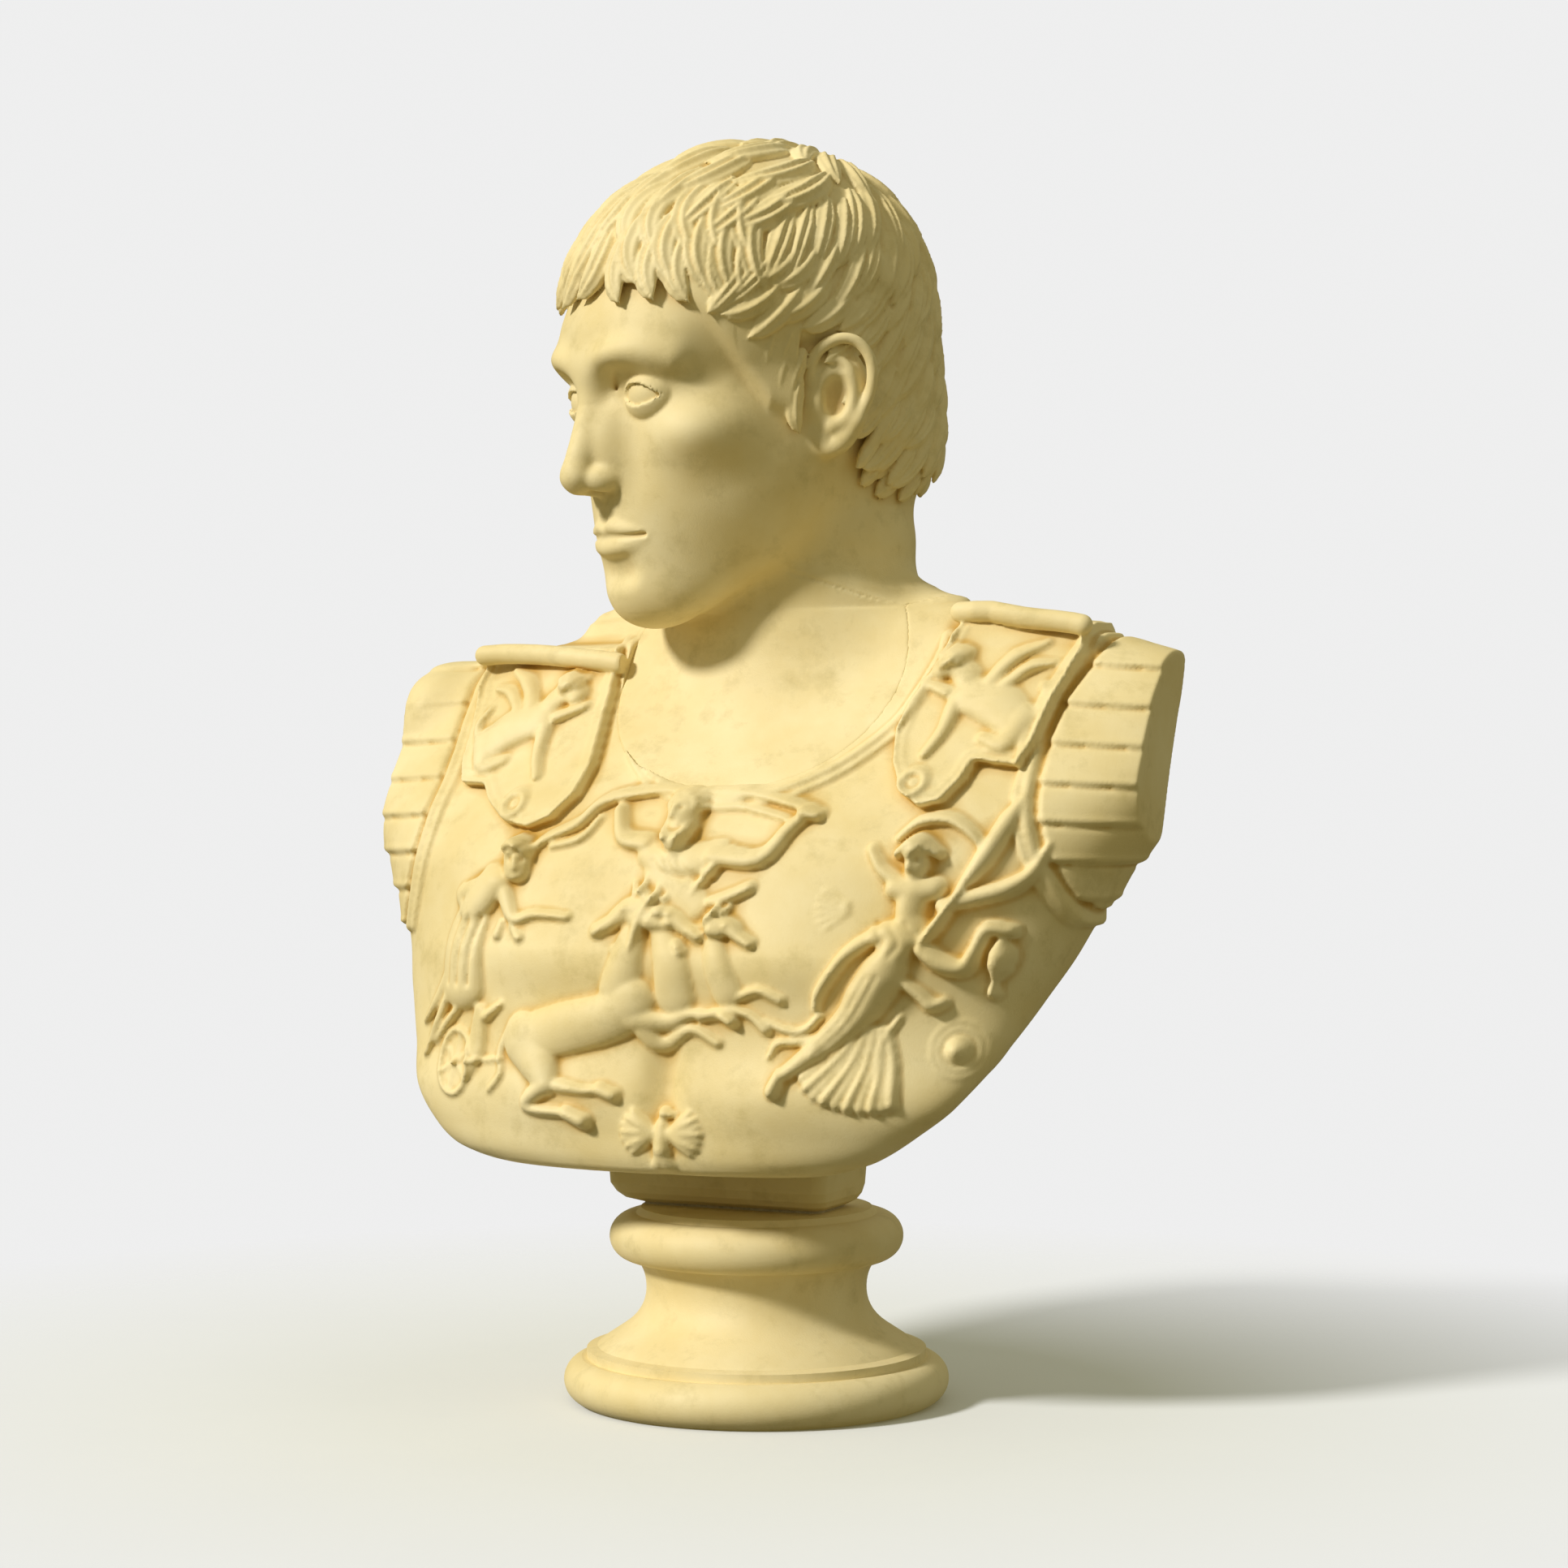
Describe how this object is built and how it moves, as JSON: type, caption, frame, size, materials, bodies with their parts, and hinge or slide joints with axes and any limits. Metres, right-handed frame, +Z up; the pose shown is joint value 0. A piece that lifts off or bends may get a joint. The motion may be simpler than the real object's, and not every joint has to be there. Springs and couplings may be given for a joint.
{
  "type": "marble bust",
  "caption": "Carved marble bust in a decorated breastplate on a turned socle, with a separate head, dowels, mortar beds and a tie rod.",
  "frame": {"origin": "centre of the socle's flat resting face", "axes": "+Z up along the socle's axis, -Y is the way the chest faces, +X is the figure's left"},
  "size_m": [0.47, 0.2539, 0.7218],
  "materials": {
    "marble": "honed, weathered",
    "mortar": "matt lime mortar",
    "steel": "satin stainless"
  },
  "bodies": {
    "root": {"socle": "marble", "pocket_plug": "mortar", "socle_bed": "mortar", "support_block": "marble", "block_bed": "mortar", "chest": "marble", "neck_bed": "mortar", "head_and_neck": "marble", "neck_dowel": "steel", "tie_rod": "steel", "rod_washer": "steel", "rod_nut": "steel", "right_pin": "steel", "left_pin": "steel"}
  },
  "joints": []
}
